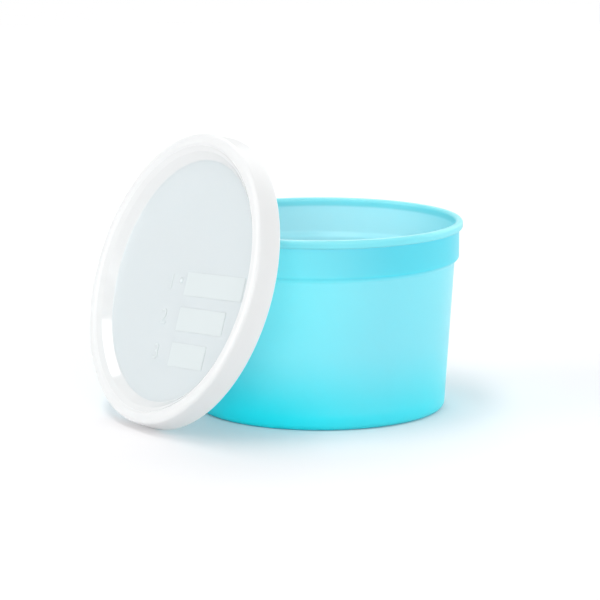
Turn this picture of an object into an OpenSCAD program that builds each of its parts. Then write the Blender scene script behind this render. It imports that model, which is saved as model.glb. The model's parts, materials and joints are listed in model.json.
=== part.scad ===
// Denture case: a round cup with a press-on lid that leans on its rim.
// Millimetres. Origin at the centre of the cup's foot, +Z up. The lid leans on the -X side.

/* [Cup] */
// Outer diameter across the rim bead
rim_d = 88.8; // [80:0.2:100]
// Height from the foot to the top of the rim
cup_h = 59.3; // [52:0.1:70]
// Outer diameter of the body at the foot
foot_d = 78; // [70:0.2:80]
// Thickness of the cup's wall
cup_wall = 1.2; // [0.8:0.1:1.8]
// How far the rim bead stands out from the collar
bead_out = 1.1; // [0.7:0.1:1.6]
// Height of the rim bead
bead_h = 2.6; // [2.2:0.1:3.4]
// Height of the collar band, from its lower edge to the top of the rim
collar_h = 11.7; // [9:0.1:16]
// How far the collar stands out from the body under it
collar_step = 1.4; // [0.6:0.1:2.4]
// Height over which the collar slopes back to the body
collar_slope_h = 1.5; // [0.8:0.1:3]
// Radius of the outer corner at the foot
foot_corner_r = 1.8; // [0.6:0.1:2.4]
// Width of the foot ring
foot_ring_w = 4; // [2.6:0.1:6]
// How far the underside of the floor stands above the table
foot_recess = 1.6; // [0.8:0.1:3]
// Thickness of the cup's floor
floor_t = 1.4; // [0.8:0.1:2.4]
// Radius of the inside corner between floor and wall
floor_corner_r = 3; // [1.5:0.1:5]

/* [Lid] */
// Thickness of the lid's skirt and ring
lid_wall = 0.65; // [0.5:0.05:1.2]
// Clearance between the lid's channel and the rim bead when the lid is pressed on
bead_clear = 0.05; // [0.02:0.01:0.2]
// Height of the lid, from its lip to the top of its ring
lid_depth = 7.6; // [6:0.1:10]
// How far the skirt flares out between ring and lip
skirt_flare = 0.6; // [0.2:0.1:1.2]
// Radius of the ring's top corners
ring_corner_r = 1.4; // [0.8:0.1:1.6]
// Width of the shallow shoulder inside the ring
shoulder_w = 2.2; // [1.4:0.1:3.4]
// Depth at which the shoulder meets the steep band
step_drop = 1.6; // [1:0.1:2.4]
// Radius between the shoulder and the steep band
step_corner_r = 0.8; // [0.7:0.1:1.4]
// Width of the steep band between shoulder and panel
slope_w = 2.2; // [1.6:0.1:6]
// Depth of the flat panel below the top of the ring
panel_drop = 4.2; // [3:0.1:5]
// Thickness of the flat panel
panel_t = 0.8; // [0.6:0.05:1.4]
// How far the snap rib reaches in under the rim bead
snap_reach = 0.45; // [0.2:0.05:0.8]
// Height of the snap rib
snap_h = 1.2; // [0.8:0.1:1.6]

/* [Write-on fields] */
// Height of each write-on field
field_h = 7.2; // [4:0.1:9]
// Distance from one field to the next
field_pitch = 10.9; // [9.5:0.1:12]
// Height of the first field's upper edge above the middle of the lid
field_top = 2.8; // [0:0.1:8]
// Distance from the middle of the lid to the fields' left edge
field_left = 3; // [0:0.1:8]
// Gap between the end of the first field and the edge of the panel
field_margin = 2.9; // [1:0.1:5]
// How much sooner each next field ends
field_step = 6.4; // [0:0.1:8]
// How far the fields stand up from the panel
field_rise = 0.2; // [0.1:0.05:0.6]
// Turn of the fields from level
field_turn = 5.2; // [-20:0.1:20]

/* [Lean] */
// Upward tilt of the lid's face as it leans on the rim
lean = 18.7; // [14:0.1:26]
// Gap between the back of the lid's panel and the rim that it leans on
lean_gap = 0.3; // [0.1:0.05:0.6]

/* [Hidden] */
$fn = 96;
ARC = 6;             // steps in each rounded corner of an outline
EDGE_R = 0.3;        // radius that breaks the lid's thin edges
FIELDS = 3;
SINK = 0.2;          // how far a field reaches into the panel

rim_r = rim_d / 2;
collar_r = rim_r - bead_out;
mouth_r = collar_r - cup_wall;
neck_r = collar_r - collar_step;
foot_r = foot_d / 2;
bead_r = (rim_r - mouth_r) / 2;
collar_z = cup_h - collar_h;
neck_z = collar_z - collar_slope_h;
floor_z = foot_recess + floor_t;
draft = (neck_r - foot_r) / neck_z;
foot_in_r = foot_r - foot_ring_w;

ring_r = rim_r + bead_clear + lid_wall;
lip_r = ring_r + skirt_flare;
shoulder_r = mouth_r - shoulder_w;
panel_r = shoulder_r - slope_w;
bead_bottom = lid_wall + bead_h;
snap_r = rim_r - snap_reach;

lid_z = (lid_depth - EDGE_R) * sin(lean) + (lip_r - EDGE_R) * cos(lean) + EDGE_R;
panel_to_bead = panel_drop + panel_t + lean_gap + bead_r;
lid_x = bead_r - rim_r - (panel_to_bead + (cup_h - bead_r - lid_z) * sin(lean)) / cos(lean);

// Points that round corner b of the path a, b, c to radius r, or to the room that there is
function rounded(a, b, c, r) =
    let (u = (a - b) / norm(a - b),
         v = (c - b) / norm(c - b),
         half = acos(u * v) / 2,
         t = min(r / tan(half), norm(a - b) / 2, norm(c - b) / 2),
         o = b + (u + v) / norm(u + v) * t / cos(half),
         p = b + u * t - o,
         q = b + v * t - o,
         turn = atan2(cross(p, q), p * q))
    [for (i = [0 : ARC])
        let (s = turn * i / ARC)
        o + [p.x * cos(s) - p.y * sin(s), p.x * sin(s) + p.y * cos(s)]];

// Corner b of the path a, b, c, moved into the bend by t
function inset(a, b, c, t) =
    let (u = (a - b) / norm(a - b),
         v = (c - b) / norm(c - b))
    b + (u + v) / norm(u + v) * t / sin(acos(u * v) / 2);

// Outline through corners [radius, height, rounding], closed along the axis
function outline(c) =
    [for (i = [0 : len(c) - 1])
        each (c[i].z == 0 ? [[c[i].x, c[i].y]]
            : rounded([c[i - 1].x, c[i - 1].y], [c[i].x, c[i].y], [c[i + 1].x, c[i + 1].y], c[i].z))];

module cup() {
    color([0.51, 0.90, 0.95])
        rotate_extrude()
            polygon(outline([
                [0, foot_recess, 0],
                [foot_in_r, foot_recess, 0.6],
                [foot_in_r + 0.4, 0, 0.5],
                [foot_r, 0, foot_corner_r],
                [neck_r, neck_z, 1],
                [collar_r, collar_z, 0.9],
                [collar_r, cup_h - bead_h, 0.3],
                [rim_r, cup_h - bead_h, bead_out * 0.8],
                [rim_r, cup_h, bead_r],
                [mouth_r, cup_h, bead_r],
                [mouth_r, collar_z + cup_wall / 2, 0.9],
                [neck_r - cup_wall, neck_z + cup_wall / 2, 1],
                [foot_r + draft * floor_z - cup_wall, floor_z, floor_corner_r],
                [0, floor_z, 0]
            ]));
}

module lid_shell() {
    top = [ring_r, 0];
    inner = [mouth_r, 0];
    shoulder = [shoulder_r, -step_drop];
    panel = [panel_r, -panel_drop];
    under_ring = inset(top, inner, shoulder, lid_wall);
    under_shoulder = inset(inner, shoulder, panel, lid_wall);
    rotate_extrude()
        polygon(outline([
            [0, -panel_drop, 0],
            [panel.x, panel.y, 0.8],
            [shoulder.x, shoulder.y, step_corner_r],
            [inner.x, inner.y, ring_corner_r],
            [top.x, top.y, ring_corner_r],
            [lip_r, -lid_depth, EDGE_R],
            [lip_r - lid_wall, -lid_depth, EDGE_R],
            [snap_r + lid_wall, -bead_bottom - snap_h, 0.3],
            [snap_r, -bead_bottom - snap_h / 2, 0.3],
            [ring_r - lid_wall, -bead_bottom + bead_out * 0.8, 0.3],
            [ring_r - lid_wall, -lid_wall, ring_corner_r - lid_wall],
            [under_ring.x, under_ring.y, ring_corner_r - lid_wall],
            [under_shoulder.x, under_shoulder.y, max(0, step_corner_r - lid_wall)],
            [panel_r, -panel_drop - panel_t, 0.8 + lid_wall],
            [0, -panel_drop - panel_t, 0]
        ]));
}

module write_on_fields() {
    for (i = [0 : FIELDS - 1]) {
        low = field_top - field_h - i * field_pitch;
        end = panel_r - field_margin - i * field_step;
        translate([field_left, low, -panel_drop - SINK])
            cube([end - field_left, field_h, field_rise + SINK]);
    }
}

module lid() {
    color([0.93, 0.95, 0.95])
        translate([lid_x, 0, lid_z])
            rotate([0, lean - 90, 0])
                rotate([0, 0, field_turn - 90]) {
                    lid_shell();
                    write_on_fields();
                }
}

cup();
lid();
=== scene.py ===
import json
import math

import bpy
from mathutils import Euler, Matrix, Vector


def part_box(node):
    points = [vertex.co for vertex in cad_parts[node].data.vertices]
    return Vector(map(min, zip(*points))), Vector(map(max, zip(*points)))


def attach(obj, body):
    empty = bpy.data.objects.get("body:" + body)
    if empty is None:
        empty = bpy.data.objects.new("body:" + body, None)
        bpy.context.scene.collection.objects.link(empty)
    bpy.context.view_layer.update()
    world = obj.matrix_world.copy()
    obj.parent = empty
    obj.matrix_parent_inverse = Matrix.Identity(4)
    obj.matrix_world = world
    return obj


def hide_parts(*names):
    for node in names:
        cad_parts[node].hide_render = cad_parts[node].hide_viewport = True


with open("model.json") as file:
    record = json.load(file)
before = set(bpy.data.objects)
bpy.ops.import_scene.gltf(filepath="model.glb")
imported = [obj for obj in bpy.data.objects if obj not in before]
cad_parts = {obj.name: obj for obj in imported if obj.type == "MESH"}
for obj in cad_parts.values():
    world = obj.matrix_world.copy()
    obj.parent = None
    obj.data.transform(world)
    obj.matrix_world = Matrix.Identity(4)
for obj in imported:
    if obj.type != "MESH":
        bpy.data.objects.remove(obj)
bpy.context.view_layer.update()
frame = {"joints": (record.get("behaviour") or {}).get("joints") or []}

bl_info = {
    "name": "Denture Case",
    "version": (1, 0, 0),
    "blender": (4, 5, 0),
    "location": "3D View > Sidebar > Denture Case",
    "description": "Moulds a lidded denture cup around its frame and sets it in a plain studio",
    "category": "Object",
}

MM = 0.001
WELD = 0.002 * MM  # points closer than this become one
CUP_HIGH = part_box("cup")[1]
TIP = next(j for j in frame["joints"] if j["name"] == "lid_tip")
LEAN = math.radians(TIP["range_deg"][1] - 90)


def linear(hex_colour):
    """Linear RGBA of an sRGB hex colour such as "#82E6F3"."""
    values = [int(hex_colour[i:i + 2], 16) / 255 for i in (1, 3, 5)]
    values = [v / 12.92 if v <= 0.04045 else ((v + 0.055) / 1.055) ** 2.4 for v in values]
    return (*values, 1.0)


def length(name, description, default):
    """A length property whose default is in metres."""
    return bpy.props.FloatProperty(
        name=name, description=description, default=default, min=0.0, unit="LENGTH", precision=5)


def share(name, description, default):
    """A property that holds a share from 0 to 1."""
    return bpy.props.FloatProperty(
        name=name, description=description, default=default, min=0.0, max=1.0, subtype="FACTOR")


def colour(name, description, hex_colour):
    """A colour property whose default is an sRGB hex value."""
    return bpy.props.FloatVectorProperty(
        name=name, description=description, default=linear(hex_colour), size=4, subtype="COLOR",
        min=0.0, max=1.0)


class CupSizes(bpy.types.PropertyGroup):
    """Sizes of the cup; the overall ones come from the frame."""
    rim_radius: length("Rim radius", "Outer radius of the rim bead", CUP_HIGH.x)
    height: length("Height", "From the foot to the top of the rim", CUP_HIGH.z)
    foot_radius: length("Foot radius", "Radius of the body at the foot", 39 * MM)
    wall: length("Wall", "Thickness of the wall", 1.2 * MM)
    bead_out: length("Bead projection", "How far the bead stands out from the collar", 1.1 * MM)
    bead_height: length("Bead height", "Height of the rim bead", 2.6 * MM)
    collar_height: length("Collar height", "From the collar's lower edge to the rim", 11.7 * MM)
    collar_step: length("Collar step", "How far the collar stands out from the body", 1.4 * MM)
    collar_slope: length("Collar slope", "Height of the slope under the collar", 1.5 * MM)
    foot_corner: length("Foot corner", "Radius of the outer corner at the foot", 1.8 * MM)
    foot_ring: length("Foot ring", "Width of the foot ring", 4 * MM)
    foot_recess: length("Foot recess", "Height of the floor's underside", 1.6 * MM)
    floor: length("Floor", "Thickness of the floor", 1.4 * MM)
    floor_corner: length("Floor corner", "Inside radius between floor and wall", 3 * MM)
    gate_radius: length("Gate radius", "Radius of the moulding gate's mark underneath", 2.4 * MM)
    gate_rise: length("Gate rise", "How far the gate's mark stands out", 0.35 * MM)


class LidSizes(bpy.types.PropertyGroup):
    """Sizes of the lid; its ring takes its size from the cup's rim."""
    wall: length("Wall", "Thickness of the skirt and ring", 0.65 * MM)
    clearance: length("Clearance", "Room around the rim bead inside the ring", 0.05 * MM)
    depth: length("Depth", "From the lip to the top of the ring", 7.6 * MM)
    flare: length("Flare", "How far the skirt spreads between ring and lip", 0.6 * MM)
    ring_corner: length("Ring corner", "Radius of the ring's top corners", 1.4 * MM)
    edge: length("Edge", "Radius that breaks the thin edges", 0.3 * MM)
    shoulder_width: length("Shoulder width", "Width of the shallow step inside the ring", 2.2 * MM)
    step_drop: length("Step drop", "Depth at which the shoulder meets the steep band", 1.6 * MM)
    step_corner: length("Step corner", "Radius between shoulder and steep band", 0.8 * MM)
    slope_width: length("Slope width", "Width of the steep band", 2.2 * MM)
    panel_drop: length("Panel drop", "Depth of the flat panel", 4.2 * MM)
    panel_corner: length("Panel corner", "Radius between steep band and panel", 0.8 * MM)
    panel: length("Panel", "Thickness of the flat panel", 0.8 * MM)
    snap_reach: length("Snap reach", "How far the snap rib reaches in", 0.45 * MM)
    snap_height: length("Snap height", "Height of the snap rib", 1.2 * MM)
    gate_radius: length("Gate radius", "Radius of the moulding gate's mark on the panel", 1.0 * MM)
    gate_rise: length("Gate rise", "How far the gate's mark stands up", 0.4 * MM)


class FieldSizes(bpy.types.PropertyGroup):
    """Sizes of the write-on fields on the lid's panel."""
    rows: bpy.props.IntProperty(
        name="Rows", description="Number of fields", default=3, min=1, max=9)
    height: length("Height", "Height of each field", 7.2 * MM)
    pitch: length("Pitch", "Distance from one field to the next", 10.9 * MM)
    top: length("Top", "Upper edge of the first field above the middle", 2.8 * MM)
    left: length("Left", "Left edge of the fields from the middle", 3 * MM)
    margin: length("Margin", "Gap between the first field's end and the panel's edge", 2.9 * MM)
    step: length("Step", "How much sooner each next field ends", 6.4 * MM)
    rise: length("Rise", "How far a field stands up from the panel", 0.12 * MM)
    sink: length("Sink", "How far a field reaches into the panel", 0.2 * MM)
    corner: length("Corner", "Radius of a field's corners", 0.35 * MM)
    number_size: length("Number size", "Type size of the raised row numbers", 6.6 * MM)
    number_gap: length("Number gap", "Gap between a row's number and its field", 6.6 * MM)
    bevel: length("Bevel", "Width of the bevel along the raised edges", 0.12 * MM)
    turn: bpy.props.FloatProperty(
        name="Turn", description="Turn of the fields from level", default=math.radians(5.2),
        subtype="ANGLE")


class Finish(bpy.types.PropertyGroup):
    """Colours of the two plastics and the studio, and how far some of them reach."""
    cup: colour("Cup", "Aqua of the cup's wall", "#70D0E2")
    # Painted light: a clearer aqua on the wall beside the lid, against the lid's shade
    cup_near_painted_light: colour("Cup, near", "Aqua beside the lid, which throws light on the wall", "#65EAFC")
    # Deeper aqua towards the foot
    cup_deep: colour("Cup, deep", "Aqua at the foot, where the plastic is thickest", "#39D2E4")
    # Painted shade: the deepest aqua, at the foot on the lid's side
    cup_painted_shade: colour("Cup, shade", "Aqua of the foot on the lid's side", "#00E3F7")
    cup_collar: colour("Cup, collar", "Aqua of the collar's outside", "#3FBED5")
    # Painted light: the paler aqua of the inside
    cup_inside_painted_light: colour("Cup, inside", "Aqua of the inner wall", "#8ADAE9")
    cup_bead: colour("Cup, bead", "Aqua of the thick rim bead", "#6ECAD7")
    lid: colour("Lid", "Milky white of the ring and skirt", "#D9DADA")
    # Painted shade: greyer, faintly aqua white of the recessed panel, with the cup's light through
    # it
    panel: colour("Panel", "Greyer white of the thin panel", "#CAD1D3")
    field: colour("Field", "Frosted white of the write-on fields", "#C8D0D1")
    floor: colour("Floor", "Studio floor", "#F5F4F5")
    deep_reach: share("Deep reach", "How far up the cup the dye is deeper, of its height", 0.45)
    shade_reach: share("Shade reach", "How far up the cup the shade on the lid's side goes", 0.4)
    # Painted light: the collar's deeper colour gives way beside the lid, against the lid's shade
    collar_painted_light: share("Collar fade", "How much weaker the collar's colour is beside the lid", 0.6)
    lid_passes: share("Lid passes", "Lamp light that passes each face of the lid", 0.55)


class Studio(bpy.types.PropertyGroup):
    """Camera, paper and light."""
    lens: bpy.props.FloatProperty(name="Lens", description="Focal length in mm", default=174.05)
    heading: bpy.props.FloatProperty(
        name="Heading", description="Camera's turn from +Y towards +X",
        default=math.radians(32.629), subtype="ANGLE")
    pitch: bpy.props.FloatProperty(
        name="Pitch", description="How far the camera looks down",
        default=math.radians(10.576), subtype="ANGLE")
    back: length("Back", "Camera's distance from the cup's axis along its heading", 894.4 * MM)
    aside: length("Aside", "Distance of the camera to the left of the cup's axis", 6.4 * MM)
    up: length("Up", "Height of the camera", 200.2 * MM)
    paper_start: length("Paper start", "Radius at which the paper starts to fade out", 0.8)
    paper_end: length("Paper end", "Radius at which the paper has faded out", 1.6)
    lamp_distance: length("Lamp distance", "Distance of the lamps from the cup's foot", 2.5)
    ambient: share("Ambient", "Strength of the white room as a light on the object", 0.37)


def add_node(tree, kind, settings=None, inputs=None):
    """Adds a node, sets its settings, and sets or links its inputs by name or index."""
    node = tree.nodes.new(kind)
    for name, value in (settings or {}).items():
        setattr(node, name, value)
    for key, value in (inputs or {}).items():
        socket = node.inputs[key]
        if isinstance(value, bpy.types.NodeSocket):
            tree.links.new(value, socket)
        elif isinstance(value, list):
            for part in value:
                tree.links.new(part, socket)
        else:
            socket.default_value = value
    return node


def rounded(a, b, c, radius, steps=9):
    """Points that round corner b of the path a, b, c to the radius, or to the room there is."""
    u, v = (a - b).normalized(), (c - b).normalized()
    half = math.acos(max(-1.0, min(1.0, u.dot(v)))) / 2
    run = min(radius / math.tan(half), (a - b).length / 2, (c - b).length / 2)
    centre = b + (u + v).normalized() * run / math.cos(half)
    start, end = b + u * run - centre, b + v * run - centre
    turn = math.atan2(start.x * end.y - start.y * end.x, start.dot(end))
    return [centre + Matrix.Rotation(turn * i / steps, 2) @ start for i in range(steps + 1)]


def inset(a, b, c, run):
    """Corner b of the path a, b, c, moved into the bend by the run."""
    u, v = (a - b).normalized(), (c - b).normalized()
    return b + (u + v).normalized() * run / math.sin(math.acos(u.dot(v)) / 2)


def spaced(points, longest=4 * MM, hold=0.12 * MM):
    """The path with its long straight stretches divided, and a loop close to each end of them."""
    path = [points[0]]
    for a, b in zip(points, points[1:]):
        run = (b - a).length
        if run > 6 * hold:
            count = max(1, math.ceil(run / longest))
            marks = [hold / run] + [i / count for i in range(1, count)] + [1 - hold / run]
            path += [a.lerp(b, t) for t in marks]
        path.append(b)
    return path


def outline(corners):
    """Path through corners (radius, height, rounding) from axis to axis."""
    spots = [Vector(c[:2]) for c in corners]
    path = []
    for i, corner in enumerate(corners):
        if corner[2]:
            path += rounded(spots[i - 1], spots[i], spots[i + 1], corner[2])
        else:
            path.append(spots[i])
    return spaced(path)


def new_tree(name, inputs):
    """A geometry node tree with inputs given as name and type; returns it and their sockets."""
    tree = bpy.data.node_groups.new(name, "GeometryNodeTree")
    for label, kind in (("Shape", "Geometry"), *inputs, ("Place", "Vector"), ("Turn", "Vector"),
                        ("Material", "Material")):
        tree.interface.new_socket(label, in_out="INPUT", socket_type="NodeSocket" + kind)
    tree.interface.new_socket("Shape", in_out="OUTPUT", socket_type="NodeSocketGeometry")
    return tree, add_node(tree, "NodeGroupInput").outputs


def end_tree(tree, given, shape):
    """Ends a tree: the shape is turned, put in place, made real and given its material."""
    placed = add_node(tree, "GeometryNodeTransform", inputs={
        "Geometry": shape, "Translation": given["Place"], "Rotation": given["Turn"]})
    real = add_node(tree, "GeometryNodeRealizeInstances", inputs={"Geometry": placed.outputs[0]})
    dressed = add_node(tree, "GeometryNodeSetMaterial", inputs={
        "Geometry": real.outputs[0], "Material": given["Material"]})
    add_node(tree, "NodeGroupOutput", inputs={0: dressed.outputs[0]})
    return tree


def lathe_tree():
    """Turns a profile in the XZ plane round Z."""
    tree, given = new_tree("lathe", [("Segments", "Int"), ("Weld", "Float")])
    count = add_node(tree, "GeometryNodeAttributeDomainSize", {"component": "MESH"},
                     {"Geometry": given["Shape"]})
    columns = add_node(tree, "ShaderNodeMath", {"operation": "ADD"}, {
        0: given["Segments"], 1: 1.0})
    grid = add_node(tree, "GeometryNodeMeshGrid", inputs={
        "Vertices X": count.outputs["Point Count"], "Vertices Y": columns.outputs[0]})
    index = add_node(tree, "GeometryNodeInputIndex")
    row = add_node(tree, "FunctionNodeIntegerMath", {"operation": "DIVIDE_FLOOR"},
                   {0: index.outputs[0], 1: columns.outputs[0]})
    column = add_node(tree, "FunctionNodeIntegerMath", {"operation": "MODULO"},
                      {0: index.outputs[0], 1: columns.outputs[0]})
    spot = add_node(tree, "GeometryNodeInputPosition")
    point = add_node(tree, "GeometryNodeSampleIndex", {"data_type": "FLOAT_VECTOR"}, {
        "Geometry": given["Shape"], "Value": spot.outputs[0], "Index": row.outputs[0]})
    share = add_node(tree, "ShaderNodeMath", {"operation": "DIVIDE"},
                     {0: column.outputs[0], 1: given["Segments"]})
    angle = add_node(tree, "ShaderNodeMath", {"operation": "MULTIPLY"},
                     {0: share.outputs[0], 1: math.tau})
    turned = add_node(tree, "ShaderNodeVectorRotate", {"rotation_type": "Z_AXIS"},
                      {"Vector": point.outputs["Value"], "Angle": angle.outputs[0]})
    moved = add_node(tree, "GeometryNodeSetPosition", inputs={
        "Geometry": grid.outputs["Mesh"], "Position": turned.outputs[0]})
    welded = add_node(tree, "GeometryNodeMergeByDistance", inputs={
        "Geometry": moved.outputs[0], "Distance": given["Weld"]})
    smooth = add_node(tree, "GeometryNodeSetShadeSmooth", inputs={"Geometry": welded.outputs[0]})
    return end_tree(tree, given, smooth.outputs[0])


def rows_tree():
    """Repeats a raised write-on field, each shorter than the last, with its number beside it."""
    tree, given = new_tree("rows", [
        ("Rows", "Int"), ("Height", "Float"), ("Pitch", "Float"), ("Top", "Float"),
        ("Left", "Float"), ("End", "Float"), ("Step", "Float"), ("Corner", "Float"),
        ("Base", "Float"), ("Thickness", "Float"), ("Number Size", "Float"),
        ("Number Gap", "Float"), ("Weld", "Float")])
    row = add_node(tree, "GeometryNodeRepeatInput")
    last = add_node(tree, "GeometryNodeRepeatOutput")
    row.pair_with_output(last)
    tree.links.new(given["Rows"], row.inputs["Iterations"])
    turn = row.outputs["Iteration"]

    down = add_node(tree, "ShaderNodeMath", {"operation": "MULTIPLY_ADD"}, {
        0: turn, 1: given["Pitch"], 2: given["Height"]})
    low = add_node(tree, "ShaderNodeMath", {"operation": "SUBTRACT"}, {
        0: given["Top"], 1: down.outputs[0]})
    sooner = add_node(tree, "ShaderNodeMath", {"operation": "MULTIPLY_ADD"}, {
        0: turn, 1: given["Step"], 2: given["Left"]})
    width = add_node(tree, "ShaderNodeMath", {"operation": "SUBTRACT"}, {
        0: given["End"], 1: sooner.outputs[0]})
    middle_x = add_node(tree, "ShaderNodeMath", {"operation": "MULTIPLY_ADD"}, {
        0: width.outputs[0], 1: 0.5, 2: given["Left"]})
    middle_y = add_node(tree, "ShaderNodeMath", {"operation": "MULTIPLY_ADD"}, {
        0: given["Height"], 1: 0.5, 2: low.outputs[0]})
    centre = add_node(tree, "ShaderNodeCombineXYZ", inputs={
        "X": middle_x.outputs[0], "Y": middle_y.outputs[0]})
    box = add_node(tree, "GeometryNodeCurvePrimitiveQuadrilateral", inputs={
        "Width": width.outputs[0], "Height": given["Height"]})
    soft = add_node(tree, "GeometryNodeFilletCurve", {"mode": "POLY"}, {
        "Curve": box.outputs[0], "Count": 5, "Radius": given["Corner"]})
    field = add_node(tree, "GeometryNodeTransform", inputs={
        "Geometry": soft.outputs[0], "Translation": centre.outputs[0]})

    count = add_node(tree, "ShaderNodeMath", {"operation": "ADD"}, {0: turn, 1: 1.0})
    digits = add_node(tree, "FunctionNodeValueToString", inputs={"Value": count.outputs[0]})
    text = add_node(tree, "GeometryNodeStringToCurves", {
        "align_x": "RIGHT", "align_y": "MIDDLE"}, {
        "String": digits.outputs[0], "Size": given["Number Size"]})
    side = add_node(tree, "ShaderNodeMath", {"operation": "SUBTRACT"}, {
        0: given["Left"], 1: given["Number Gap"]})
    beside = add_node(tree, "ShaderNodeCombineXYZ", inputs={
        "X": side.outputs[0], "Y": middle_y.outputs[0]})
    number = add_node(tree, "GeometryNodeTransform", inputs={
        "Geometry": text.outputs[0], "Translation": beside.outputs[0]})

    both = add_node(tree, "GeometryNodeJoinGeometry", inputs={
        0: [row.outputs["Geometry"], field.outputs[0], number.outputs[0]]})
    tree.links.new(both.outputs[0], last.inputs["Geometry"])
    curves = add_node(tree, "GeometryNodeRealizeInstances", inputs={0: last.outputs["Geometry"]})
    flat = add_node(tree, "GeometryNodeFillCurve", {"mode": "NGONS"}, {"Curve": curves.outputs[0]})
    under = add_node(tree, "GeometryNodeFlipFaces", inputs={"Mesh": flat.outputs[0]})
    raised = add_node(tree, "GeometryNodeExtrudeMesh", inputs={
        "Mesh": flat.outputs[0], "Offset Scale": given["Thickness"], "Individual": False})
    closed = add_node(tree, "GeometryNodeJoinGeometry", inputs={
        0: [under.outputs[0], raised.outputs[0]]})
    welded = add_node(tree, "GeometryNodeMergeByDistance", inputs={
        "Geometry": closed.outputs[0], "Distance": given["Weld"]})
    base = add_node(tree, "ShaderNodeCombineXYZ", inputs={"Z": given["Base"]})
    sunk = add_node(tree, "GeometryNodeTransform", inputs={
        "Geometry": welded.outputs[0], "Translation": base.outputs[0]})
    return end_tree(tree, given, sunk.outputs[0])


def run_nodes(piece, tree, values):
    """Runs a geometry node tree on a piece and keeps the result as its plain mesh."""
    nodes = piece.modifiers.new(tree.name, "NODES")
    nodes.node_group = tree
    sockets = {s.name: s.identifier for s in tree.interface.items_tree if s.in_out == "INPUT"}
    for name, value in values.items():
        nodes[sockets[name]] = value
    done = piece.evaluated_get(bpy.context.evaluated_depsgraph_get())
    mesh = bpy.data.meshes.new_from_object(done)
    mesh.name = piece.name
    piece.modifiers.remove(nodes)
    piece.data = mesh
    return piece


def new_piece(name, mesh):
    """An object at the origin that shows the mesh."""
    piece = bpy.data.objects.new(name, mesh)
    bpy.context.scene.collection.objects.link(piece)
    return piece


def lathe(name, corners, material, segments=256, place=(0, 0, 0), turn=(0, 0, 0)):
    """A solid of revolution through the corners, turned and put in place."""
    path = outline(corners)
    mesh = bpy.data.meshes.new(name + "_profile")
    edges = [(i, i + 1) for i in range(len(path) - 1)]
    mesh.from_pydata([(p.x, 0, p.y) for p in path], edges, [])
    return run_nodes(new_piece(name, mesh), lathe_tree(), {
        "Segments": segments, "Weld": WELD, "Place": place, "Turn": turn, "Material": material})


def new_material(name):
    """An empty node material and its tree."""
    material = bpy.data.materials.new(name)
    material.use_nodes = True
    material.node_tree.nodes.clear()
    return material, material.node_tree


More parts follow.
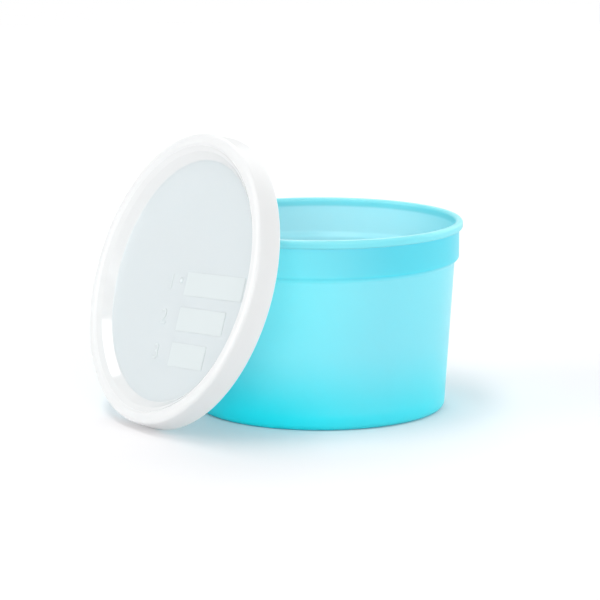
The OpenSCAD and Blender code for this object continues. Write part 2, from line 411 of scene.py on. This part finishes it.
def moulded_polypropylene():
    """Translucent polypropylene, injection-moulded in a satin tool and dyed through."""
    finish = bpy.context.scene.denture_finish
    sizes = bpy.context.scene.denture_cup
    material, tree = new_material("translucent_polypropylene_moulded")
    place = add_node(tree, "ShaderNodeTexCoord").outputs
    parts = add_node(tree, "ShaderNodeSeparateXYZ", inputs={0: place["Object"]}).outputs
    # The aqua is deeper towards the foot
    depth = add_node(tree, "ShaderNodeMapRange", {"interpolation_type": "SMOOTHSTEP"}, {
        "Value": parts["Z"], "From Min": 0.0, "From Max": sizes.height * finish.deep_reach,
        "To Min": 1.0, "To Max": 0.0})
    # Painted light: the wall on the lid's side is a clearer aqua, brightened against the shade the
    # lid throws there
    lid_side = add_node(tree, "ShaderNodeMapRange", {"interpolation_type": "SMOOTHSTEP"}, {
        "Value": parts["X"], "From Min": -sizes.foot_radius, "From Max": 0.0,
        "To Min": 1.0, "To Max": 0.0})
    body = add_node(tree, "ShaderNodeMix", {"data_type": "RGBA"}, {
        "Factor": lid_side.outputs[0], "A": tuple(finish.cup), "B": tuple(finish.cup_near_painted_light)})
    wall = add_node(tree, "ShaderNodeMix", {"data_type": "RGBA"}, {
        "Factor": depth.outputs[0], "A": body.outputs["Result"], "B": tuple(finish.cup_deep)})
    # Painted shade: the foot on that side is the deepest aqua, for the lid's shade, where light
    # comes only through the plastic
    low = add_node(tree, "ShaderNodeMapRange", {"interpolation_type": "SMOOTHSTEP"}, {
        "Value": parts["Z"], "From Min": 0.0, "From Max": sizes.height * finish.shade_reach,
        "To Min": 1.0, "To Max": 0.0})
    painted_shade = add_node(tree, "ShaderNodeMath", {"operation": "MULTIPLY"}, {
        0: lid_side.outputs[0], 1: low.outputs[0]})
    wall = add_node(tree, "ShaderNodeMix", {"data_type": "RGBA"}, {
        "Factor": painted_shade.outputs[0], "A": wall.outputs["Result"], "B": tuple(finish.cup_painted_shade)})
    # The collar's outside is a little deeper too; less so beside the lid, as painted light against
    # the lid's shade
    collar_share_after_painted_light = add_node(tree, "ShaderNodeMath", {"operation": "MULTIPLY_ADD"}, {
        0: lid_side.outputs[0], 1: -finish.collar_painted_light, 2: 1.0})
    collar_low = sizes.height - sizes.collar_height
    collar = add_node(tree, "ShaderNodeMapRange", {"interpolation_type": "SMOOTHSTEP"}, {
        "Value": parts["Z"], "From Min": collar_low - sizes.collar_slope, "From Max": collar_low,
        "To Max": collar_share_after_painted_light.outputs[0]})
    outside = add_node(tree, "ShaderNodeMix", {"data_type": "RGBA"}, {
        "Factor": collar.outputs[0], "A": wall.outputs["Result"], "B": tuple(finish.cup_collar)})
    # Painted light: the inside is paler, for the light that comes through the single back wall;
    # its normals look towards the axis, or up, which counts a quarter as much
    flat = add_node(tree, "ShaderNodeCombineXYZ", inputs={"X": parts["X"], "Y": parts["Y"]})
    away = add_node(tree, "ShaderNodeVectorMath", {"operation": "NORMALIZE"}, {0: flat.outputs[0]})
    out_down = add_node(tree, "ShaderNodeVectorMath", {"operation": "SUBTRACT"}, {
        0: away.outputs[0], 1: (0, 0, 0.25)})
    faces_out = add_node(tree, "ShaderNodeVectorMath", {"operation": "DOT_PRODUCT"}, {
        0: place["Normal"], 1: out_down.outputs[0]})
    inside = add_node(tree, "ShaderNodeMapRange", {"interpolation_type": "SMOOTHSTEP"}, {
        "Value": faces_out.outputs["Value"], "From Min": -0.9, "From Max": 0.3,
        "To Min": 1.0, "To Max": 0.0})
    dye_with_painted_light = add_node(tree, "ShaderNodeMix", {"data_type": "RGBA"}, {
        "Factor": inside.outputs[0], "A": outside.outputs["Result"],
        "B": tuple(finish.cup_inside_painted_light)})
    # The rim bead is solid, so it shows deeper again
    bead_low, blend = sizes.height - sizes.bead_height, 0.5 * MM
    rim = add_node(tree, "ShaderNodeMapRange", {"interpolation_type": "SMOOTHSTEP"}, {
        "Value": parts["Z"], "From Min": bead_low - blend, "From Max": bead_low + blend})
    dye_with_painted_light = add_node(tree, "ShaderNodeMix", {"data_type": "RGBA"}, {
        "Factor": rim.outputs[0], "A": dye_with_painted_light.outputs["Result"], "B": tuple(finish.cup_bead)})
    # Satin tool: an orange peel about half a millimetre across
    peel = add_node(tree, "ShaderNodeTexNoise", inputs={
        "Vector": place["Object"], "Scale": 1 / (0.5 * MM), "Detail": 2.0})
    bump = add_node(tree, "ShaderNodeBump", inputs={
        "Strength": 0.15, "Distance": 0.02 * MM, "Height": peel.outputs[0]})
    gloss = add_node(tree, "ShaderNodeMapRange", inputs={
        "Value": peel.outputs[0], "To Min": 0.2, "To Max": 0.3})
    # All the gloss is in the moulded skin: hardly any straight on, a pale veil along the edges
    skin = add_node(tree, "ShaderNodeBsdfPrincipled", inputs={
        "Base Color": dye_with_painted_light.outputs["Result"], "Roughness": gloss.outputs[0], "IOR": 1.49,
        "Specular IOR Level": 0.0,
        "Subsurface Weight": 0.6, "Subsurface Radius": (0.8, 0.95, 1.0),
        "Subsurface Scale": 12 * MM,
        "Coat Weight": 1.0, "Coat Roughness": 0.35, "Coat IOR": 1.4,
        "Normal": bump.outputs[0]})
    add_node(tree, "ShaderNodeOutputMaterial", inputs={"Surface": skin.outputs[0]})
    return material


def milky_plastic(name, ring, panel, dish_rough, ring_rough, depth):
    """A milky plastic of one colour on the panel and another around it, with a fine peel."""
    sizes, cup = bpy.context.scene.denture_lid, bpy.context.scene.denture_cup
    material, tree = new_material(name)
    spot = add_node(tree, "ShaderNodeTexCoord").outputs["Object"]
    # The place on the lid, measured from its own axis
    own = add_node(tree, "ShaderNodeMapping", {"vector_type": "TEXTURE"}, {
        "Vector": spot, "Location": lid_place(sizes, cup), "Rotation": lid_turn()})
    parts = add_node(tree, "ShaderNodeSeparateXYZ", inputs={0: own.outputs[0]}).outputs
    flat = add_node(tree, "ShaderNodeCombineXYZ", inputs={"X": parts["X"], "Y": parts["Y"]})
    radius = add_node(tree, "ShaderNodeVectorMath", {"operation": "LENGTH"}, {0: flat.outputs[0]})
    _, mouth, _, shoulder, edge = lid_radii(sizes, cup)
    blend = 0.3 * MM
    out = add_node(tree, "ShaderNodeMapRange", {"interpolation_type": "SMOOTHSTEP"}, {
        "Value": radius.outputs["Value"], "From Min": edge - blend, "From Max": edge + blend})
    # Painted shade: the lid's panel colour is greyer and faintly aqua, for its recess and the cup
    # behind it
    tint = add_node(tree, "ShaderNodeMix", {"data_type": "RGBA"}, {
        "Factor": out.outputs[0], "A": tuple(panel), "B": tuple(ring)})
    peel = add_node(tree, "ShaderNodeTexNoise", inputs={
        "Vector": spot, "Scale": 1 / (0.7 * MM), "Detail": 2.0})
    bump = add_node(tree, "ShaderNodeBump", inputs={
        "Strength": 0.12, "Distance": 0.02 * MM, "Height": peel.outputs[0]})
    # The tool is polished in the dish and duller on the ring and skirt, and its peel dulls it more
    dull = add_node(tree, "ShaderNodeMapRange", {"interpolation_type": "SMOOTHSTEP"}, {
        "Value": radius.outputs["Value"], "From Min": shoulder, "From Max": mouth,
        "To Min": dish_rough, "To Max": ring_rough})
    peel_rough = 0.06
    gloss = add_node(tree, "ShaderNodeMath", {"operation": "MULTIPLY_ADD"}, {
        0: peel.outputs[0], 1: peel_rough, 2: dull.outputs[0]})
    # Light scatters in the wall to the depth, and not at all where that is 0
    skin = add_node(tree, "ShaderNodeBsdfPrincipled", inputs={
        "Base Color": tint.outputs["Result"], "Roughness": gloss.outputs[0], "IOR": 1.51,
        "Subsurface Weight": float(depth > 0), "Subsurface Radius": (1.0, 1.0, 1.0),
        "Subsurface Scale": depth, "Normal": bump.outputs[0]})
    # The thin wall lets part of the light through, so it throws pale shadows
    lamp_ray = add_node(tree, "ShaderNodeLightPath").outputs["Is Shadow Ray"]
    passes = bpy.context.scene.denture_finish.lid_passes
    passed = add_node(tree, "ShaderNodeBsdfTransparent", inputs={"Color": (*[passes] * 3, 1)})
    wall = add_node(tree, "ShaderNodeMixShader", inputs={
        0: lamp_ray, 1: skin.outputs[0], 2: passed.outputs[0]})
    add_node(tree, "ShaderNodeOutputMaterial", inputs={"Surface": wall.outputs[0]})
    return material


def moulded_polyethylene():
    """Milky low-density polyethylene, injection-moulded: waxy, and it lets some light through."""
    finish = bpy.context.scene.denture_finish
    return milky_plastic("milky_polyethylene_moulded", finish.lid, finish.panel,
                         dish_rough=0.08, ring_rough=0.3, depth=0.8 * MM)


def frosted_polyethylene():
    """The same plastic from a spark-eroded patch of the tool: matt, so that a pen writes on it."""
    finish = bpy.context.scene.denture_finish
    return milky_plastic("frosted_polyethylene_moulded", finish.field, finish.field,
                         dish_rough=0.6, ring_rough=0.6, depth=0.0)


def studio_paper():
    """Matt white paper that keeps the object's shadow, fades out and is open from below."""
    finish, studio = bpy.context.scene.denture_finish, bpy.context.scene.denture_studio
    material, tree = new_material("white_studio_paper")
    paper = add_node(tree, "ShaderNodeBsdfDiffuse", inputs={"Color": tuple(finish.floor)})
    clear = add_node(tree, "ShaderNodeBsdfTransparent")
    below = add_node(tree, "ShaderNodeNewGeometry").outputs["Backfacing"]
    spot = add_node(tree, "ShaderNodeTexCoord").outputs["Object"]
    radius = add_node(tree, "ShaderNodeVectorMath", {"operation": "LENGTH"}, {0: spot})
    fade = add_node(tree, "ShaderNodeMapRange", {"interpolation_type": "SMOOTHSTEP"}, {
        "Value": radius.outputs["Value"], "From Min": studio.paper_start,
        "From Max": studio.paper_end})
    gone = add_node(tree, "ShaderNodeMath", {"operation": "MAXIMUM"}, {
        0: below, 1: fade.outputs[0]})
    sheet = add_node(tree, "ShaderNodeMixShader", inputs={
        0: gone.outputs[0], 1: paper.outputs[0], 2: clear.outputs[0]})
    add_node(tree, "ShaderNodeOutputMaterial", inputs={"Surface": sheet.outputs[0]})
    return material


def cup_corners(s):
    """Corners (radius, height, rounding) of the cup's section, up the outside, down the inside."""
    collar = s.rim_radius - s.bead_out
    mouth = collar - s.wall
    neck = collar - s.collar_step
    bead = (s.rim_radius - mouth) / 2
    collar_z = s.height - s.collar_height
    neck_z = collar_z - s.collar_slope
    floor_z = s.foot_recess + s.floor
    draft = (neck - s.foot_radius) / neck_z
    ring = s.foot_radius - s.foot_ring
    gate_z = s.foot_recess - s.gate_rise
    return [
        (0, gate_z, 0),
        (s.gate_radius, gate_z, 0.1 * MM),
        (s.gate_radius + s.gate_rise, s.foot_recess, 0.2 * MM),
        (ring, s.foot_recess, 0.6 * MM),
        (ring + 0.4 * MM, 0, 0.5 * MM),
        (s.foot_radius, 0, s.foot_corner),
        (neck, neck_z, 1 * MM),
        (collar, collar_z, 0.9 * MM),
        (collar, s.height - s.bead_height, 0.3 * MM),
        (s.rim_radius, s.height - s.bead_height, s.bead_out * 0.8),
        (s.rim_radius, s.height, bead),
        (mouth, s.height, bead),
        (mouth, collar_z + s.wall / 2, 0.9 * MM),
        (neck - s.wall, neck_z + s.wall / 2, 1 * MM),
        (s.foot_radius + draft * floor_z - s.wall, floor_z, s.floor_corner),
        (0, floor_z, 0),
    ]


def lid_radii(s, cup):
    """Radii of the lid's ring, mouth, lip, shoulder and panel."""
    mouth = cup.rim_radius - cup.bead_out - cup.wall
    ring = cup.rim_radius + s.clearance + s.wall
    shoulder = mouth - s.shoulder_width
    return ring, mouth, ring + s.flare, shoulder, shoulder - s.slope_width


def lid_corners(s, cup):
    """Corners of the lid's section, out over the top and back underneath; 0 is its top plane."""
    ring, mouth, lip, shoulder, panel = lid_radii(s, cup)
    bead_low = -s.wall - cup.bead_height
    snap = cup.rim_radius - s.snap_reach
    gate_z = s.gate_rise - s.panel_drop
    bends = [Vector((ring, 0)), Vector((mouth, 0)), Vector((shoulder, -s.step_drop)),
             Vector((panel, -s.panel_drop))]
    under_ring = inset(*bends[:3], s.wall)
    under_shoulder = inset(*bends[1:], s.wall)
    return [
        (0, gate_z, 0),
        (s.gate_radius * 0.5, gate_z, 0.5 * MM),
        (s.gate_radius, -s.panel_drop, 0.2 * MM),
        (panel, -s.panel_drop, s.panel_corner),
        (shoulder, -s.step_drop, s.step_corner),
        (mouth, 0, s.ring_corner),
        (ring, 0, s.ring_corner),
        (lip, -s.depth, s.edge),
        (lip - s.wall, -s.depth, s.edge),
        (snap + s.wall, bead_low - s.snap_height, 0.3 * MM),
        (snap, bead_low - s.snap_height / 2, 0.3 * MM),
        (ring - s.wall, bead_low + cup.bead_out * 0.8, 0.3 * MM),
        (ring - s.wall, -s.wall, s.ring_corner - s.wall),
        (*under_ring, s.ring_corner - s.wall),
        (*under_shoulder, max(0, s.step_corner - s.wall)),
        (panel, -s.panel_drop - s.panel, s.panel_corner + s.wall),
        (0, -s.panel_drop - s.panel, 0),
    ]


def lid_place(s, cup):
    """Middle of the lid's top plane as it leans: its lip on the table, its pivot in that plane."""
    lip = lid_radii(s, cup)[2]
    up = (s.depth - s.edge) * math.sin(LEAN) + (lip - s.edge) * math.cos(LEAN) + s.edge
    return Vector((TIP["pos_m"][0] + up * math.tan(LEAN), 0, up))


def lid_turn():
    """Turn that takes the lid's own Z to the way its face looks."""
    return Euler((0, LEAN - math.pi / 2, 0))


def set_camera(scene, studio, turn):
    """Sets the camera where the photo was taken from."""
    lens = bpy.data.cameras.new("camera")
    lens.lens = studio.lens
    camera = bpy.data.objects.new("camera", lens)
    camera.matrix_world = (turn @ Matrix.Translation((-studio.aside, -studio.back, studio.up))
                           @ Matrix.Rotation(math.pi / 2 - studio.pitch, 4, "X"))
    scene.collection.objects.link(camera)
    scene.camera = camera


def lay_paper(studio):
    """Lays the paper that the object stands on."""
    mesh = bpy.data.meshes.new("studio_floor")
    corners = ((-1, -1, 0), (1, -1, 0), (1, 1, 0), (-1, 1, 0))
    mesh.from_pydata([Vector(c) * studio.paper_end for c in corners], [], [(0, 1, 2, 3)])
    floor = new_piece("studio_floor", mesh)
    mesh.materials.append(studio_paper())


def light_room(scene, studio):
    """Makes the room plain white to look at and to reflect, and dimmer as a light."""
    world = bpy.data.worlds.new("white_room")
    scene.world = world
    world.use_nodes = True
    tree = world.node_tree
    tree.nodes.clear()
    ray = add_node(tree, "ShaderNodeLightPath").outputs
    seen = add_node(tree, "ShaderNodeMath", {"operation": "MAXIMUM"}, {
        0: ray["Is Camera Ray"], 1: ray["Is Glossy Ray"]})
    strength = add_node(tree, "ShaderNodeMapRange", inputs={
        "Value": seen.outputs[0], "To Min": studio.ambient, "To Max": 1.0})
    sky = add_node(tree, "ShaderNodeBackground", inputs={
        "Color": (1, 1, 1, 1), "Strength": strength.outputs[0]})
    add_node(tree, "ShaderNodeOutputWorld", inputs={"Surface": sky.outputs[0]})


def hang_lamps(scene, studio, turn):
    """Hangs the soft lamps: the way to each, its long side, its size in metres and its watts."""
    boxes = {
        "overhead_softbox": ((-0.21, -0.18, 1.0), (0, 1, 0), (0.5, 2.14), 19.7),
        "front_softbox": ((0.05, -0.97, 0.15), (0, 0, 1), (1.8, 1.5), 21.5),
        "left_fill": ((-0.9, -0.3, 0.3), (0, 0, 1), (1.5, 1.5), 29),
        "back_right_light": ((0.6, 0.62, 0.45), (0, 0, 1), (1.5, 1.5), 14),
        "back_light": ((0.0, 0.7, 0.7), (0, 0, 1), (1.5, 1.5), 16),
        "right_rim_light": ((0.98, 0.2, 0.12), (0, 0, 1), (1.6, 0.6), 16),
        "front_right_fill": ((0.5, -0.8, 0.35), (0, 0, 1), (1.5, 1.5), 13.5),
    }
    for name, (way, along, size, power) in boxes.items():
        lamp = bpy.data.lights.new(name, "AREA")
        lamp.shape = "RECTANGLE"
        lamp.size, lamp.size_y = size
        lamp.energy = power
        box = bpy.data.objects.new(name, lamp)
        towards = turn @ Vector(way).normalized()
        across = (turn @ Vector(along)).cross(towards).normalized()
        facing = Matrix((across, towards.cross(across), towards)).transposed()
        box.location = towards * studio.lamp_distance
        box.rotation_euler = facing.to_euler()
        box.visible_camera = False
        scene.collection.objects.link(box)


class DENTURE_OT_cup(bpy.types.Operator):
    """Mould the cup"""
    bl_idname = "denture.cup"
    bl_label = "Cup"

    def execute(self, context):
        sizes = context.scene.denture_cup
        cup = lathe("cup_shell", cup_corners(sizes), moulded_polypropylene())
        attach(cup, "cup")
        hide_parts("cup")
        return {"FINISHED"}


class DENTURE_OT_lid(bpy.types.Operator):
    """Mould the lid and lean it on the cup"""
    bl_idname = "denture.lid"
    bl_label = "Lid"

    def execute(self, context):
        sizes, cup = context.scene.denture_lid, context.scene.denture_cup
        lid = lathe("lid_shell", lid_corners(sizes, cup), moulded_polyethylene(),
                    place=lid_place(sizes, cup), turn=lid_turn())
        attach(lid, "lid")
        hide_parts("lid")
        return {"FINISHED"}


class DENTURE_OT_fields(bpy.types.Operator):
    """Raise the write-on fields and their numbers on the lid"""
    bl_idname = "denture.fields"
    bl_label = "Write-on Fields"

    def execute(self, context):
        scene = context.scene
        sizes, lid, cup = scene.denture_fields, scene.denture_lid, scene.denture_cup
        panel = lid_radii(lid, cup)[4]
        spin = Matrix.Rotation(sizes.turn - math.pi / 2, 3, "Z")
        turn = (lid_turn().to_matrix() @ spin).to_euler()
        rows = run_nodes(new_piece("write_on_fields", bpy.data.meshes.new("rows")), rows_tree(), {
            "Rows": sizes.rows, "Height": sizes.height, "Pitch": sizes.pitch, "Top": sizes.top,
            "Left": sizes.left, "End": panel - sizes.margin, "Step": sizes.step,
            "Corner": sizes.corner, "Base": -lid.panel_drop - sizes.sink,
            "Thickness": sizes.rise + sizes.sink,
            "Number Size": sizes.number_size, "Number Gap": sizes.number_gap,
            "Weld": WELD, "Place": lid_place(lid, cup), "Turn": turn,
            "Material": frosted_polyethylene()})
        edge = rows.modifiers.new("edge", "BEVEL")
        edge.width = sizes.bevel
        edge.segments = 2
        edge.limit_method = "ANGLE"
        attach(rows, "lid")
        return {"FINISHED"}


class DENTURE_OT_studio(bpy.types.Operator):
    """Set the camera, the floor and the light"""
    bl_idname = "denture.studio"
    bl_label = "Studio"

    def execute(self, context):
        scene, studio = context.scene, context.scene.denture_studio
        turn = Matrix.Rotation(-studio.heading, 4, "Z")
        set_camera(scene, studio, turn)
        lay_paper(studio)
        light_room(scene, studio)
        hang_lamps(scene, studio, turn)
        scene.view_settings.view_transform = "Standard"
        return {"FINISHED"}


class DENTURE_PT_case(bpy.types.Panel):
    """Lists the operators that make the denture case"""
    bl_label = "Denture Case"
    bl_space_type = "VIEW_3D"
    bl_region_type = "UI"
    bl_category = "Denture Case"

    def draw(self, context):
        for operator in OPERATORS:
            self.layout.operator(operator.bl_idname)
        for name in SETTINGS:
            box = self.layout.box()
            group = getattr(context.scene, name)
            for key in group.__annotations__:
                box.prop(group, key)


OPERATORS = (DENTURE_OT_cup, DENTURE_OT_lid, DENTURE_OT_fields, DENTURE_OT_studio)
SETTINGS = {"denture_cup": CupSizes, "denture_lid": LidSizes, "denture_fields": FieldSizes,
            "denture_finish": Finish, "denture_studio": Studio}


def register():
    """Registers the classes and puts their settings on the scene."""
    for cls in (*SETTINGS.values(), *OPERATORS, DENTURE_PT_case):
        bpy.utils.register_class(cls)
    for name, group in SETTINGS.items():
        setattr(bpy.types.Scene, name, bpy.props.PointerProperty(type=group))


def unregister():
    """Takes the settings off the scene and unregisters the classes."""
    for name in SETTINGS:
        delattr(bpy.types.Scene, name)
    for cls in reversed((*SETTINGS.values(), *OPERATORS, DENTURE_PT_case)):
        bpy.utils.unregister_class(cls)


def main():
    """Makes everything in order."""
    register()
    bpy.ops.denture.cup()
    bpy.ops.denture.lid()
    bpy.ops.denture.fields()
    bpy.ops.denture.studio()


if __name__ == "__main__":
    main()
